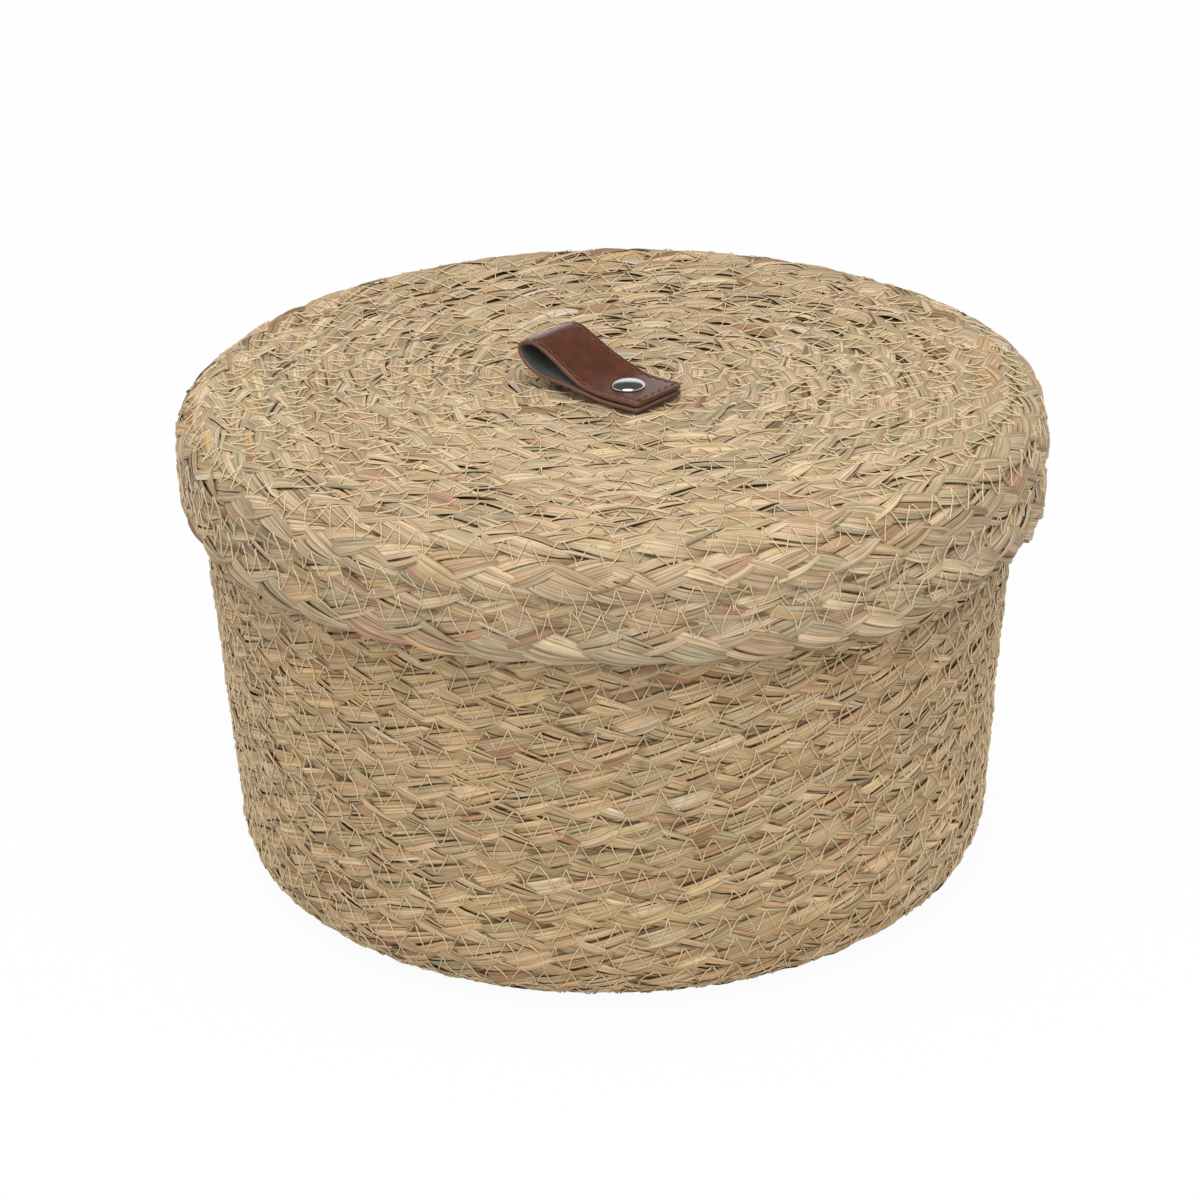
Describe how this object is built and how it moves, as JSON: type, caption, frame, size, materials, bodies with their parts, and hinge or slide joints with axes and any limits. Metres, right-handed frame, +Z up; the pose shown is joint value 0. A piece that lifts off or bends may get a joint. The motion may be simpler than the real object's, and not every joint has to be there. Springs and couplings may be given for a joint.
{
  "type": "woven lidded box",
  "caption": "Round box of coiled and sewn grass plait with a lift-off lid and a riveted leather pull loop, for keeping small things.",
  "frame": {"origin": "middle of the base on the surface that the box stands on", "axes": "+Z up along the box's axis; the leather loop's fold points along -X and its finger gap runs along Y"},
  "size_m": [0.249, 0.249, 0.1607],
  "materials": {
    "grass": "plaited dry grass, matt with a slight sheen on the blades",
    "leather": "smooth brown leather, satin",
    "lining": "dark grey felt backing",
    "rivet": "bright plated"
  },
  "bodies": {
    "box": {"box_coil": "grass"},
    "lid": {"lid_coil": "grass", "rivet_cap": "rivet", "rivet_back": "rivet"},
    "tab": {"tab_top_skin": "leather", "tab_top_lining": "lining", "tab_bottom_lining": "lining", "tab_bottom_skin": "leather"},
    "tab_loop": {"tab_loop_skin": "leather", "tab_loop_lining": "lining"}
  },
  "joints": [
    {"name": "lid_lift", "type": "slide", "parent": "box", "child": "lid", "axis": [0, 0, 1], "range_m": [0, 0.06]},
    {"name": "tab_swivel", "type": "hinge", "parent": "lid", "child": "tab", "pos_m": [0.0153, -0.0088, 0.147], "axis": [0, 0, 1], "continuous": true},
    {"name": "tab_lift", "type": "hinge", "parent": "tab", "child": "tab_loop", "pos_m": [0.0091, -0.0088, 0.1508], "axis": [0, 1, 0], "range_deg": [0, 75]}
  ]
}
